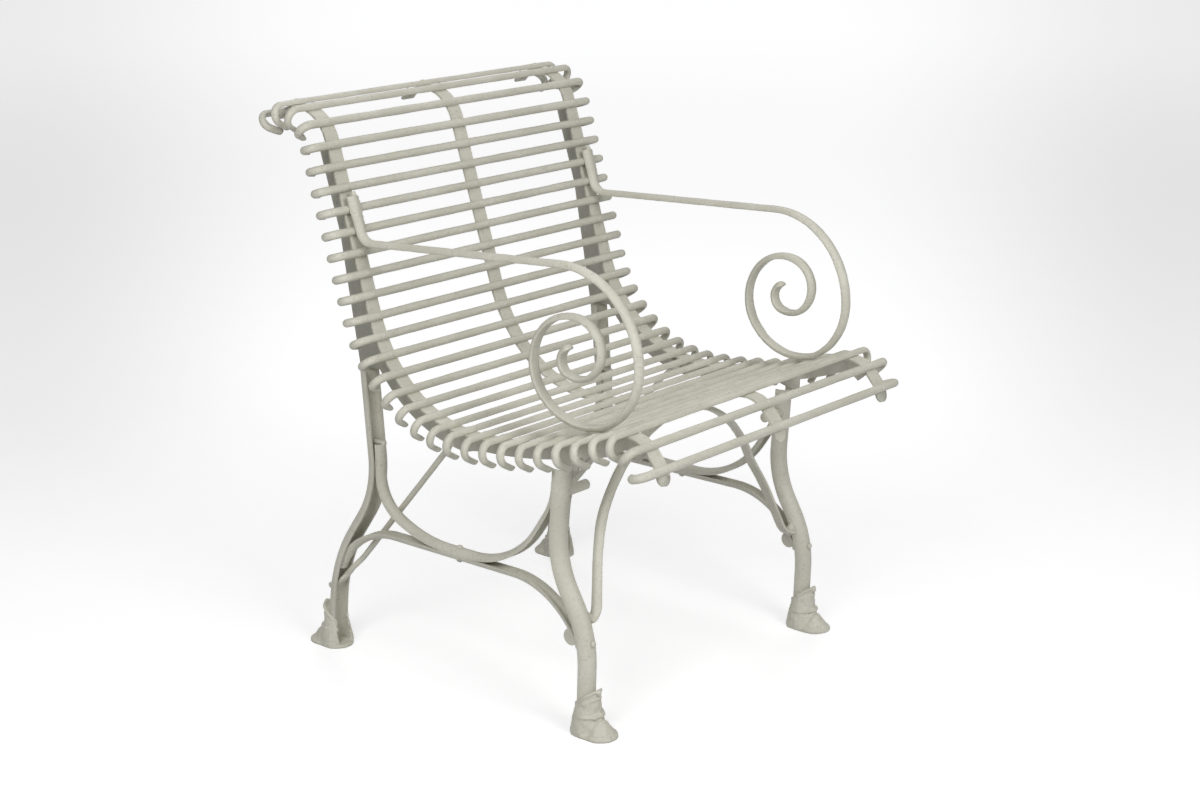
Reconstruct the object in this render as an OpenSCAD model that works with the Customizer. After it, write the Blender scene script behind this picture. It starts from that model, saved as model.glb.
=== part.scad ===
// Wrought iron garden armchair: curled half-round slats riveted to three ribs,
// hollow half-round legs and side frames, scrolled arms and cast hoof feet.
// The chair faces -Y and stands on z = 0. Left and right are the sitter's, so left is +X.
// A bend list describes each bar: [length, 0] is straight, [radius, angle] is a bend,
// and a positive angle bends the bar toward its own +Y side. A third number rolls the
// plane of the bend about the bar, while the bar's section keeps its own direction.

/* [Slats] */
// Overall width over the curled slat ends
chair_w = 630; // [600:1:680]
// Width of the half-round slat bar
slat_w = 12; // [10:0.5:13]
// Thickness of the half-round slat bar
slat_t = 8; // [6.5:0.5:9]
// Radius of the curled slat end, to the bar's flat side
curl_r = 11; // [9:0.5:13]
// Angle of the curled slat end
curl_a = 150; // [110:1:165]
// Straight tail beyond the curl
curl_tail = 14; // [6:1:18]
// Straight tail of the slats over the front edge, where the curls crowd together
curl_tail_front = 4; // [2:1:6]
// Distance of the lowest front slat from the rib's lower end
slat_first = 9; // [8:0.5:11]
// Spacing of the two slats under the front edge
pitch_lip = 36.5; // [35:0.5:39]
// Spacing of the slats over the rolled front edge
pitch_nose = 36; // [34:0.5:40]
// Spacing of the seat slats
pitch_seat = 34.1; // [30:0.1:35]
// Spacing of the slats in the bend between seat and back
pitch_bend = 30.8; // [28:0.1:33]
// Spacing of the back slats
pitch_back = 32.1; // [29:0.1:33]
// Spacing of the slats over the rolled top
pitch_roll = 34; // [32:0.1:35]

/* [Ribs] */
// Distance of each side frame from the middle of the chair
frame_x = 264; // [250:1:275]
// Width of the rib face that carries the slats
rib_w = 25; // [20:1:28]
// Thickness of the rib face
rib_t = 4; // [3:0.5:5]
// Depth of the side ribs' tee, face included
tee_d = 30; // [20:1:34]
// Thickness of the tee's web
web_t = 4; // [3:0.5:5]
// Height of the rib's lower end above the floor
rib_z = 408; // [400:0.5:415]
// Distance of the rib's lower end in front of the chair's middle
seat_front = 303; // [297:1:308]
// Radius of the rolled front edge
nose_r = 45.5; // [42:0.5:52]
// Slope of the seat behind the front edge
seat_slope = 22; // [18:0.5:24]
// Radius of the dished seat
seat_r = 733; // [650:1:800]
// Radius of the bend between seat and back
bend_r = 203.5; // [190:0.5:220]
// Lean of the back from upright
lean = 17.4; // [14:0.1:20]
// Straight length of the back
back_l = 264; // [250:1:275]
// Radius of the rolled top
roll_r = 64.5; // [60:0.5:68]

/* [Arms] */
// Width of the half-round arm bar
arm_w = 18; // [16:0.5:20]
// Thickness of the arm bar
arm_t = 9; // [8.5:0.5:10]
// Length of the upright end on the back slats
upright_l = 74; // [66:1:84]
// Radius of the arm's elbow
elbow_r = 26.5; // [22:0.5:32]
// Slope of the arm bar toward the back
arm_slope = 3; // [1:0.5:5]
// Straight length of the arm bar
arm_l = 352; // [340:1:370]
// Angle at which each arm turns inward toward the front
arm_toe = 1.9; // [0:0.1:3]
// Radius of the scroll's outer turn
scroll_r1 = 124.5; // [118:0.5:130]
// Radius of the scroll where it rests on the seat
scroll_r2 = 92; // [88:0.5:95]
// Radius of the scroll's second turn
scroll_r3 = 69; // [66:0.5:71]
// Radius of the scroll inside its second turn
scroll_r4 = 39.5; // [36:0.5:42]
// Radius of the scroll's eye
scroll_r5 = 17.5; // [15:0.5:19]

/* [Legs] */
// Width of the hollow half-round leg bar
leg_w = 30; // [26:0.5:32]
// Depth of the hollow half-round leg bar
leg_t = 18; // [15:0.5:19]
// Wall of the hollow bars
wall = 3; // [2.5:0.5:3.5]
// Place of the front legs' open side at their top, in front of the chair's middle
front_y = 117.5; // [114:0.5:121]
// Place of the back legs' open side at their top, behind the chair's middle
back_y = 249.5; // [246:0.5:253]
// Height of the back legs' upper end
back_top = 462; // [450:1:468]
// Tilt of the front legs at their top
front_tilt = 4; // [2:0.5:6]
// Tilt of the back legs at their top
back_tilt = 5; // [3:0.5:7]
// Width of the hollow half-round side bars
side_w = 20; // [18:0.5:22]
// Depth of the hollow half-round side bars
side_t = 10; // [9:0.5:11]
// Wall of the side bars
side_wall = 2.5; // [2:0.5:3]
// Height of the side arch's flat run, to its open side
arch_z = 211; // [206:1:216]
// Width of the half-round front brace
brace_w = 18; // [16:0.5:20]
// Thickness of the front brace
brace_t = 8; // [7:0.5:9]
// Diameter of the diagonal rods
rod_d = 8; // [6:0.5:9]

/* [Feet] */
// Height of a hoof's shank at its high side
hoof_h = 68; // [60:1:76]
// Height of the hoof below the coronet
coronet_z = 27; // [22:1:32]
// Length of a hoof's sole
sole_l = 74; // [66:1:80]
// Width of a hoof's sole
sole_w = 50; // [44:1:54]

/* [Fasteners] */
// Diameter of the frame rivets
stud_d = 7; // [6:0.5:8]
// Diameter of the bolts through the front legs' tops
bolt_d = 15; // [12:0.5:15]

/* [Hidden] */
$fn = 48;
clear = 0.15;
paint = [0.76, 0.75, 0.67];
shade = [0.70, 0.69, 0.61];

// A length or angle kept to six digits, as it is written out for manufacture.
function six(x) = x == 0 ? 0 : round(x * pow(10, 5 - floor(log(abs(x)))))
  / pow(10, 5 - floor(log(abs(x))));
function six_all(v) = [for (x = v) six(x)];
// Turn that is nearest to angle a among those whose sine and cosine fit in six digits.
function fit_error(a) = abs(norm([six(cos(a)), six(sin(a))]) - 1);
function fit_turn(a) = let(
    near = [for (k = [-60:60]) a + k * 0.00008],
    errors = [for (b = near) fit_error(b)],
    best = near[search(min(errors), errors)[0]])
  atan2(six(sin(best)), six(cos(best)));

// Pose [y, z, heading] at the end of one piece of a bend list, cut short at length l.
function seg_len(s) = s[1] == 0 ? s[0] : s[0] * abs(s[1]) * PI / 180;
function along(p, s, l) = s[1] == 0
  ? [p[0] + l * cos(p[2]), p[1] + l * sin(p[2]), p[2]]
  : turned(p, s[0] * sign(s[1]), l / s[0] * 180 / PI * sign(s[1]));
function turned(p, r, a) = [p[0] + r * (sin(p[2] + a) - sin(p[2])),
  p[1] - r * (cos(p[2] + a) - cos(p[2])), p[2] + a];
function pose(p, list, l, i = 0) = i == len(list) - 1 || l <= seg_len(list[i])
  ? along(p, list[i], l)
  : pose(along(p, list[i], seg_len(list[i])), list, l - seg_len(list[i]), i + 1);
function total(list, i = 0) = i == len(list) ? 0 : seg_len(list[i]) + total(list, i + 1);
// Point beside a pose, at distance d to the left of its heading.
function beside(p, d) = [p[0] - d * sin(p[2]), p[1] + d * cos(p[2])];
// Radius of the round back of a half-round bar.
function dome_r(w, t) = (w * w / 4 + t * t) / (2 * t);

// The rib's face runs from its lower front end over the seat to the rolled top.
rib_turn = [[9, 0], [30, -22], [18, 0]];
rib_flat = concat(rib_turn, [[nose_r, -(50 + seat_slope)], [seat_r, seat_slope],
  [bend_r, 90 - lean], [back_l, 0]]);
rib_start = [-seat_front, rib_z, 72];
rib_back = pose(rib_start, rib_flat, total(rib_flat) - back_l);

// Slats are numbered from the rolled top down to the front edge.
function slat_s(n) = slat_first + pitch_lip * min(1, 32 - n)
  + pitch_nose * max(0, min(1, 31 - n)) + pitch_seat * max(0, min(9, 30 - n))
  + pitch_bend * max(0, min(8, 21 - n)) + pitch_back * max(0, min(8, 13 - n))
  + pitch_roll * max(0, min(4, 5 - n));
rib = concat(rib_flat, [[roll_r, -(slat_s(1) + 9 - total(rib_flat)) / roll_r * 180 / PI]]);
function slat_pose(n) = pose(rib_start, rib, slat_s(n));
slat_round = dome_r(slat_w, slat_t);
function crown(n) = beside(slat_pose(n), clear + slat_t - slat_round);
// The part's origin lies midway between the rearmost and the foremost slat.
mid_y = (crown(1)[0] + crown(32)[0]) / 2;

// The arm lies on the back slats and its loop rests on the seat slats.
arm_up = [[upright_l, 0], [elbow_r, lean - 90 - arm_slope], [arm_l, 0],
  [scroll_r1, 90 + arm_slope]];
arm = concat(arm_up, [[scroll_r2, 140], [scroll_r3, 142], [scroll_r4, 188], [scroll_r5, 130]]);
arm_in = pose([0, 0, -90 - lean], arm_up, total(arm_up));
arm_foot = beside(rib_back, 2 * clear + slat_t + arm_w / 2 * tan(arm_toe));
back_dir = [sin(lean), cos(lean)];
function arm_rise(w, d) = let(q = pow(w * back_dir, 2) - w * w + d * d)
  q < 0 ? -1000 : sqrt(q) - w * back_dir;
arm_off = max([for (n = [24:30]) arm_rise(arm_foot + beside(arm_in, scroll_r2) - crown(n),
  scroll_r2 + arm_t + clear + slat_round)]);
arm_at = arm_foot + arm_off * back_dir;
arm_start = [arm_at[0], arm_at[1], -90 - lean];

// Legs run down from their tops to just above the soles.
sole_t = 6;
function down_to(p, z) = (z - p[1]) / sin(p[2]);
front_start = [-front_y, 385, front_tilt - 90];
front_top = [[95, 0], [158, -30 - front_tilt], [20, 0], [158, 32]];
front_low = pose(front_start, front_top, total(front_top));
front_leg = concat(front_top, [[down_to(front_low, sole_t), 0]]);
front_foot = pose(front_start, front_leg, total(front_leg));
back_start = [back_y, back_top, -90 - back_tilt];
back_leg_top = [[133, 0], [159, 35 + back_tilt], [42, 0], [238, -30]];
back_low = pose(back_start, back_leg_top, total(back_leg_top));
back_leg = concat(back_leg_top, [[down_to(back_low, sole_t), 0]]);
back_foot = pose(back_start, back_leg, total(back_leg));
leg_round = dome_r(leg_w, leg_t);

// The side bow hangs between the legs with its open side outward and down.
bow_turn = 62;
bow_dip = 28;
bow_rise = 56;
bow_r = [72, 215, 155, 100];
bow_z = arch_z + clear;
bow_top = bow_z + bow_r[1] * (1 - cos(bow_dip)) + bow_r[0] * sin(bow_turn);
bow_y = back_y - 133 * sin(back_tilt);
bow_flat = bow_y - bow_r[0] * (1 - cos(bow_turn)) - bow_r[1] * sin(bow_dip) - 48;
bow_end = [48 - bow_r[2] * sin(bow_rise) - bow_r[3] * (cos(front_tilt) - sin(bow_rise)),
  bow_z + bow_r[2] * (1 - cos(bow_rise)) + bow_r[3] * (cos(bow_rise) - sin(front_tilt))];
bow_up = (bow_end[0] + front_y - (385 - bow_end[1]) * tan(front_tilt) - clear)
  / (cos(bow_rise) - sin(bow_rise) * tan(front_tilt));
bow_start = [bow_y, bow_top + 48, -90];
bow_list = [[48, 0], [bow_r[0], -bow_turn], [bow_r[1], -bow_dip], [bow_flat, 0],
  [bow_r[2], -bow_rise], [bow_up, 0], [bow_r[3], -34 + front_tilt], [6, 0]];

// The side arch stands under the bow with its open side up.
arch_r = [135, 140, 60];
arch_back = 208;
arch_front = -31;
arch_turn = 64;
arch_start = [arch_back + arch_r[0] * sin(arch_turn) + cos(arch_turn),
  arch_z - arch_r[0] * (1 - cos(arch_turn)) - sin(arch_turn), 180 - arch_turn];
arch_list = [[1, 0], [arch_r[0], arch_turn], [arch_back - arch_front, 0], [arch_r[1], 50], [14, 0],
  [arch_r[2], 25]];
arch_eye = beside(pose(arch_start, arch_list, total(arch_list) - 20), 10);

// The diagonal rod starts inside the back leg and ends in an eye on the rib's web.
rod_low = pose(back_start, back_leg, total(back_leg) - 72);
rod_at = beside(rod_low, leg_t / 2 - 1.5);
rod_in = pose([rod_at[0], rod_at[1], rod_low[2] + 180], [[16, 0]], 16);
rod_bend = 20;
rod_hub = beside(rod_in, rod_bend);
rod_eye = beside(slat_pose(20), 10 - tee_d);
rod_span = norm(rod_eye - rod_hub);
rod_aim = atan2(rod_eye[1] - rod_hub[1], rod_eye[0] - rod_hub[0]) + asin(rod_bend / rod_span);
rod_x = side_w / 2 + rod_d / 2 + clear;
rod_eye_x = web_t / 2 + rod_d / 2 + clear;
rod_leg_x = 6;
function jog(d) = (d - 2 * rod_bend * (1 - cos(20))) / sin(20);
function jog_l(d) = 2 * rod_bend * sin(20) + jog(d) * cos(20);
rod_mid = sqrt(rod_span * rod_span - rod_bend * rod_bend) - 32 - 4
  - jog_l(rod_x - rod_leg_x) - jog_l(rod_x - rod_eye_x);
rod_list = [[16, 0], [rod_bend, rod_aim - rod_in[2]], [32, 0],
  [rod_bend, -20, 90], [jog(rod_x - rod_leg_x), 0], [rod_bend, 20], [rod_mid, 0],
  [rod_bend, 20], [jog(rod_x - rod_eye_x), 0], [rod_bend, -20], [4, 0]];

// The front brace springs from the front legs and meets under the middle rib.
brace_y = -122.5;
brace_c = pose(rib_start, rib, total([for (i = [0:4]) rib[i]]))[0];
brace_rib = pose(rib_start, rib, total([rib[0], rib[1], rib[2], rib[3]])
  + seat_r * (seat_slope - asin((brace_c - brace_y) / seat_r)) * PI / 180);
brace_top = brace_rib[1] - rib_t / cos(brace_rib[2]) - brace_w / 2 * abs(tan(brace_rib[2]))
  - clear;
brace_list = [[190, -62], [4, 0], [145, 13.5, 90], [320, -9.5, -90], [52, 0], [28, 63], [3, 0]];

// Section of a half-round bar: its flat side lies on x = 0.
module dome(w, t) {
  intersection() {
    translate([t - dome_r(w, t), 0])
      circle(dome_r(w, t));
    translate([0, -w])
      square([t + 1, 2 * w]);
  }
}

module channel(w, t, e) {
  difference() {
    dome(w, t);
    translate([t - e - dome_r(w - 2 * e, t - e), 0])
      circle(dome_r(w - 2 * e, t - e));
  }
}

// Moves by v, and turns about Z by a, without losing digits at the joints of a bar.
module shift(v) {
  translate(six_all(v))
    translate(v - six_all(v))
      children();
}

module turn(a) {
  rotate(fit_turn(a))
    rotate(a - fit_turn(a))
      children();
}

// Sweeps a section along a bend list; a second child is put at the far end.
module bend(list, i = 0, roll = 0) {
  r = six(list[i][0]);
  a = six(list[i][1]);
  q = len(list[i]) > 2 ? list[i][2] : 0;
  rotate([q, 0, 0]) {
    if (a == 0) {
      rotate([90, 0, 90])
        linear_extrude(r)
          rotate(-roll - q)
            children(0);
    } else {
      mirror([0, a < 0 ? 1 : 0, 0])
        translate([0, r, 0])
          rotate(-90)
            rotate_extrude(angle = abs(a))
              translate([r, 0])
                mirror([a < 0 ? 0 : 1, 0])
                  rotate(-roll - q)
                    children(0);
    }
    shift(a == 0 ? [r, 0, 0] : [r * sin(abs(a)), sign(a) * r * (1 - cos(a)), 0])
      turn(a)
        if (i < len(list) - 1) {
          bend(list, i + 1, roll + q) {
            children(0);
            if ($children > 1)
              children(1);
          }
        } else if ($children > 1) {
          rotate([-roll - q, 0, 0])
            children(1);
        }
  }
}

// Rounded end of a half-round bar, for the side x > 0.
module tip(w, t) {
  rotate([-90, 0, 0])
    rotate(-90)
      rotate_extrude(angle = 180)
        intersection() {
          translate([0, t - dome_r(w, t)])
            circle(dome_r(w, t));
          square([w, t + 1]);
        }
}

// Puts a shape drawn in a side plane at distance x, with its start at pose p.
module side(x, p) {
  translate([x, p[0] - mid_y, p[1]])
    rotate([90, 0, 90])
      turn(p[2])
        children();
}

module slat(n) {
  p = slat_pose(n);
  tail = n > 30 ? curl_tail_front : curl_tail;
  half = chair_w / 2 - curl_r - slat_t;
  color(paint)
    translate([0, p[0] - mid_y, p[1]])
      rotate([p[2] + 90, 0, 0])
        translate([-half - curl_r * sin(curl_a) - tail * cos(curl_a),
          clear + curl_r * (cos(curl_a) - 1) - tail * sin(curl_a), 0])
          rotate(curl_a) {
            bend([[tail, 0], [curl_r, -curl_a], [2 * half, 0], [curl_r, -curl_a], [tail, 0]]) {
              dome(slat_w, slat_t);
              tip(slat_w, slat_t);
            }
            rotate([0, 180, 0])
              tip(slat_w, slat_t);
          }
}

// Flat bar section of a rib; its face lies on x = 0.
module flat_bar() {
  translate([-rib_t, -rib_w / 2])
    square([rib_t, rib_w]);
}

module tee_bar() {
  union() {
    flat_bar();
    translate([-tee_d, -web_t / 2])
      square([tee_d - rib_t / 2, web_t]);
  }
}

// Rounded tongue at a rib's lower end.
module tongue() {
  translate([0, -rib_t, 0])
    rotate([-90, 0, 0])
      cylinder(r = rib_w / 2, h = rib_t);
}

module rib_center() {
  color(shade)
    side(0, rib_start) {
      bend(rib)
        flat_bar();
      tongue();
    }
}

// Side rib: flat over the rolled top, below it a tee with plates over the two legs.
module side_rib() {
  merge = pose(rib_back, [[back_l, 0]], 130);
  back_seat = pose(back_start, [[10, 0]], -clear);
  front_seat = pose(front_start, [[10, 0]], -clear);
  difference() {
    union() {
      side(frame_x, rib_start) {
        bend(rib_turn) {
          flat_bar();
          bend([for (i = [3:6]) rib[i]]) {
            tee_bar();
            bend([rib[7]])
              flat_bar();
          }
        }
        tongue();
      }
      // plates over the back leg and over the front leg
      side(frame_x, [0, 0, 0])
        translate([0, 0, -web_t / 2])
          linear_extrude(web_t) {
            polygon([beside(back_seat, leg_t + 3), beside(merge, -tee_d),
              beside(rib_back, 6 - tee_d), beside(back_seat, -24)]);
            polygon([beside(front_seat, 12), beside(slat_pose(25), 4 - tee_d),
              beside(slat_pose(27), 4 - tee_d), beside(front_seat, -leg_t - 16)]);
          }
    }
    // hole for the rod's rivet
    side(frame_x, [rod_eye[0], rod_eye[1], 0])
      cylinder(d = stud_d + 2 * clear, h = 40, center = true);
  }
}

module rib_left() {
  color(paint)
    side_rib();
}

module rib_right() {
  color(paint)
    mirror([1, 0, 0])
      side_rib();
}

// Scrolled arm with the small peg over its upright end.
module side_arm() {
  translate([frame_x, arm_start[0] - mid_y, 0])
    turn(-arm_toe)
      side(0, [mid_y, arm_start[1], arm_start[2]]) {
        bend(arm) {
          mirror([1, 0])
            dome(arm_w, arm_t);
          mirror([0, 1, 0])
            tip(arm_w, arm_t);
        }
        translate([-9, -arm_t / 2, 0])
          rotate([0, 90, 0])
            cylinder(d = arm_t - 2, h = 9);
      }
}

module arm_left() {
  color(paint)
    side_arm();
}

module arm_right() {
  color(paint)
    mirror([1, 0, 0])
      side_arm();
}

// Hollow half-round leg, with a bore for the bolt or rivet at each of its joints.
module side_front_leg() {
  difference() {
    side(frame_x, front_start)
      bend(front_leg)
        mirror([1, 0])
          channel(leg_w, leg_t, wall);
    top_bolt_line(clear);
    low_bolt_line(clear);
  }
}

module front_leg_left() {
  color(paint)
    side_front_leg();
}

module front_leg_right() {
  color(paint)
    mirror([1, 0, 0])
      side_front_leg();
}

module side_back_leg() {
  difference() {
    side(frame_x, back_start)
      bend(back_leg)
        channel(leg_w, leg_t, wall);
    back_stud_line(clear);
  }
}

module back_leg_left() {
  color(paint)
    side_back_leg();
}

module back_leg_right() {
  color(paint)
    mirror([1, 0, 0])
      side_back_leg();
}

// Cast hoof around a leg's lower end; the toe points along +Y here.
module hoof_block() {
  w = sole_w / 2;
  heel = sole_l / 2 - 10;
  linear_extrude(4) {
    translate([0, w - heel])
      circle(w);
    translate([0, sole_l - heel - w])
      circle(w);
    translate([-w, w - heel])
      square([2 * w, sole_l - 2 * w]);
  }
  rotate_extrude()
    polygon([[0, 0], [w - 1, 0], [w - 1, 4], [w - 3, 9], [w - 4.5, coronet_z - 3],
      [w - 3, coronet_z], [w - 3, coronet_z + 4], [w - 5, coronet_z + 6],
      [w - 5, hoof_h + 8], [0, hoof_h + 8]]);
  translate([0, sole_l - heel - w, 0])
    rotate_extrude()
      polygon([[0, 0], [w, 0], [w, 4], [w - 6, 9], [w - 13, coronet_z - 8],
        [w - 18, coronet_z - 2], [0, coronet_z - 1]]);
}

// The hoof's collar slants from the toe side down to the heel; the leg's hollow stays open.
module hoof(p, dir) {
  lean_back = 90 + p[2];
  difference() {
    translate([frame_x, p[0] - mid_y, 0])
      rotate(dir > 0 ? 0 : 180)
        translate([0, 10 + (hoof_h / 2 - sole_t) * tan(lean_back) * dir * -1, 0])
          hoof_block();
    translate([frame_x, p[0] - mid_y, 0])
      rotate(dir > 0 ? 0 : 180)
        translate([0, 30, hoof_h])
          rotate([32, 0, 0])
            translate([-sole_w, -3 * sole_w, 0])
              cube([2 * sole_w, 4 * sole_w, sole_w]);
    side(frame_x, p)
      rotate([90, 0, -90])
        translate([0, 0, -clear])
          linear_extrude(hoof_h + sole_l)
            foot_pocket(dir);
  }
}

// The leg's section with clearance, and its hollow carried on through the heel.
module foot_pocket(dir) {
  mirror([dir > 0 ? 1 : 0, 0]) {
    translate([leg_t + clear - dome_r(leg_w + 2 * clear, leg_t + clear), 0])
      intersection() {
        circle(dome_r(leg_w + 2 * clear, leg_t + clear));
        translate([dome_r(leg_w + 2 * clear, leg_t + clear) - leg_t - 2 * clear, -leg_w])
          square([leg_w, 2 * leg_w]);
      }
    translate([-sole_l, wall - leg_w / 2])
      square([sole_l + 1, leg_w - 2 * wall]);
  }
}

module front_hoof_left() {
  color(paint)
    hoof(front_foot, -1);
}

module front_hoof_right() {
  color(paint)
    mirror([1, 0, 0])
      hoof(front_foot, -1);
}

module back_hoof_left() {
  color(paint)
    hoof(back_foot, 1);
}

module back_hoof_right() {
  color(paint)
    mirror([1, 0, 0])
      hoof(back_foot, 1);
}

module side_bow() {
  difference() {
    side(frame_x, bow_start)
      bend(bow_list)
        mirror([1, 0])
          channel(side_w, side_t, side_wall);
    back_stud_line(clear);
    side_stud_line(clear);
  }
}

module bow_left() {
  color(paint)
    side_bow();
}

module bow_right() {
  color(paint)
    mirror([1, 0, 0])
      side_bow();
}

// The arch's front end is swollen into a round boss that the low rivet holds.
module side_arch() {
  difference() {
    union() {
      side(frame_x, arch_start)
        bend(arch_list)
          channel(side_w, side_t, side_wall);
      side(frame_x, [arch_eye[0], arch_eye[1], 0])
        cylinder(d = 25, h = 14, center = true);
    }
    side_stud_line(clear);
    low_bolt_line(clear);
  }
}

module arch_left() {
  color(paint)
    side_arch();
}

module arch_right() {
  color(paint)
    mirror([1, 0, 0])
      side_arch();
}

// Half of the front brace, from under the middle rib out and down to a front leg.
module side_brace() {
  translate([0, brace_y - mid_y, brace_top - brace_t])
    rotate([90, 0, 0])
      bend(brace_list)
        dome(brace_w, brace_t);
}

module front_brace() {
  color(paint)
    union() {
      side_brace();
      mirror([1, 0, 0])
        side_brace();
    }
}

module side_rod() {
  difference() {
    union() {
      side(frame_x - rod_leg_x, [rod_at[0], rod_at[1], rod_low[2] + 180])
        bend(rod_list)
          circle(d = rod_d);
      side(frame_x - rod_eye_x, [rod_eye[0], rod_eye[1], 0])
        cylinder(r = 10, h = rod_d, center = true);
    }
    side(frame_x, [rod_eye[0], rod_eye[1], 0])
      cylinder(d = stud_d + 2 * clear, h = 60, center = true);
  }
}

module rod_left() {
  color(shade)
    side_rod();
}

module rod_right() {
  color(shade)
    mirror([1, 0, 0])
      side_rod();
}

// Rivet along its own axis Z: a shank from 0 to l and domed heads at its ends.
module fastener(d, l, extra = 0, heads = [0, 1]) {
  if (extra > 0) {
    translate([0, 0, -20])
      cylinder(d = d + 2 * extra, h = l + 20 + (len(heads) > 1 ? 20 : extra));
  } else {
    cylinder(d = d, h = l);
    for (m = heads)
      translate([0, 0, m * l])
        mirror([0, 0, 1 - m])
          head(d);
  }
}

module head(d) {
  rotate_extrude()
    intersection() {
      translate([0, clear - 0.35 * d])
        circle(d * 0.8);
      translate([0, clear])
        square([d, d]);
    }
  cylinder(d = d, h = clear);
}

// The thick bolt passes the front leg's inner side and ends in its hollow.
front_bolt = pose(front_start, front_leg, 37);
module top_bolt_line(extra = 0) {
  at = beside(front_bolt, -8);
  stub = 36;
  side(frame_x - leg_w / 2 - stub, [at[0], at[1], 0])
    if (extra > 0) {
      cylinder(d = bolt_d + 2 * extra, h = stub + leg_w / 2 - 3);
    } else {
      cylinder(d = bolt_d, h = stub + leg_w / 2 - 4);
      mirror([0, 0, 1])
        scale(bolt_d / 10)
          tip_round();
    }
}

// Low dome over the end of a round bolt of diameter 10.
module tip_round() {
  rotate_extrude()
    intersection() {
      translate([0, -3])
        circle(sqrt(34));
      square([5, 5]);
    }
}

low_bolt = pose(front_start, front_leg, total(front_leg) - 130);
module low_bolt_line(extra = 0) {
  side(frame_x, [low_bolt[0], low_bolt[1], 0])
    translate([-leg_t / cos(90 + low_bolt[2]) - stud_d * abs(tan(90 + low_bolt[2])), 0, 0])
      rotate([0, 90, 0])
        fastener(stud_d, leg_t + 14, extra, [0]);
}

back_stud = pose(back_start, back_leg, 113);
module back_stud_line(extra = 0) {
  side(frame_x, [bow_y - side_t, back_stud[1], 0])
    rotate([0, 90, 0])
      fastener(stud_d, side_t + leg_t + back_stud[0] - bow_y + 0.6, extra);
}

module side_stud_line(extra = 0) {
  side(frame_x, [76, arch_z - side_t, 0])
    rotate([-90, 0, 0])
      fastener(stud_d, 2 * side_t + clear, extra);
}

module top_bolt_left() {
  color(paint)
    top_bolt_line();
}

module top_bolt_right() {
  color(paint)
    mirror([1, 0, 0])
      top_bolt_line();
}

module low_bolt_left() {
  color(paint)
    low_bolt_line();
}

module low_bolt_right() {
  color(paint)
    mirror([1, 0, 0])
      low_bolt_line();
}

module back_stud_left() {
  color(paint)
    back_stud_line();
}

module back_stud_right() {
  color(paint)
    mirror([1, 0, 0])
      back_stud_line();
}

module side_stud_left() {
  color(paint)
    side_stud_line();
}

module side_stud_right() {
  color(paint)
    mirror([1, 0, 0])
      side_stud_line();
}

rib_center();
rib_left();
rib_right();
arm_left();
arm_right();
front_leg_left();
front_leg_right();
back_leg_left();
back_leg_right();
front_hoof_left();
front_hoof_right();
back_hoof_left();
back_hoof_right();
bow_left();
bow_right();
arch_left();
arch_right();
front_brace();
rod_left();
rod_right();
top_bolt_left();
top_bolt_right();
low_bolt_left();
low_bolt_right();
back_stud_left();
back_stud_right();
side_stud_left();
side_stud_right();
slat(1);  // slat_01
slat(2);  // slat_02
slat(3);  // slat_03
slat(4);  // slat_04
slat(5);  // slat_05
slat(6);  // slat_06
slat(7);  // slat_07
slat(8);  // slat_08
slat(9);  // slat_09
slat(10);  // slat_10
slat(11);  // slat_11
slat(12);  // slat_12
slat(13);  // slat_13
slat(14);  // slat_14
slat(15);  // slat_15
slat(16);  // slat_16
slat(17);  // slat_17
slat(18);  // slat_18
slat(19);  // slat_19
slat(20);  // slat_20
slat(21);  // slat_21
slat(22);  // slat_22
slat(23);  // slat_23
slat(24);  // slat_24
slat(25);  // slat_25
slat(26);  // slat_26
slat(27);  // slat_27
slat(28);  // slat_28
slat(29);  // slat_29
slat(30);  // slat_30
slat(31);  // slat_31
slat(32);  // slat_32
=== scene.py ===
import math
import bpy
from mathutils import Matrix, Vector


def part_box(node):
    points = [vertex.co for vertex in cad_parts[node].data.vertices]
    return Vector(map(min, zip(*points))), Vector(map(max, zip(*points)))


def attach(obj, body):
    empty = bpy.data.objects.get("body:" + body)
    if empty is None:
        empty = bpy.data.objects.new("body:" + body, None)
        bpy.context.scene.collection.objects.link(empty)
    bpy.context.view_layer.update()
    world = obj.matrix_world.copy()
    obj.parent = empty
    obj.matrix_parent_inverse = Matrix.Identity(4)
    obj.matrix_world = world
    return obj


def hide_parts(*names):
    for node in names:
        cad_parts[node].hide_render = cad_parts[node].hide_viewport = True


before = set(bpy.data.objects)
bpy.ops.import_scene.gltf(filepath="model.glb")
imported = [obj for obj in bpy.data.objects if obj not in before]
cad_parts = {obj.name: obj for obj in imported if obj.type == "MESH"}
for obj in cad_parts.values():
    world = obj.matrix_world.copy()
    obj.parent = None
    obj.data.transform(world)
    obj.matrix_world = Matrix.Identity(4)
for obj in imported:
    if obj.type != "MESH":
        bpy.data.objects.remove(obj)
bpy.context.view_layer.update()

# The chair faces -Y; left is the sitter's left, +X. Lengths below are in millimetres.
MM = 0.001
FRAME_X = 264
CLEAR = 0.15
SLATS = 32
SLAT_W, SLAT_T = 12, 8
SLAT_HALF = 296
CURL_R, CURL_A = 11, 150
RIB_T = 4
SIDES = (("left", 1), ("right", -1))


# Bars and their places

def length(piece):
    size, angle = piece
    return size if angle == 0 else size * math.radians(abs(angle))


def step(pose, piece, distance):
    """Pose (y, z, heading) after a distance along one straight or bent stretch of bar."""
    y, z, heading = pose
    size, angle = piece
    if angle == 0:
        a = math.radians(heading)
        return y + distance * math.cos(a), z + distance * math.sin(a), heading
    radius = math.copysign(size, angle)
    a, b = math.radians(heading), math.radians(heading) + distance / radius
    return (y + radius * (math.sin(b) - math.sin(a)), z - radius * (math.cos(b) - math.cos(a)),
            math.degrees(b))


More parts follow.
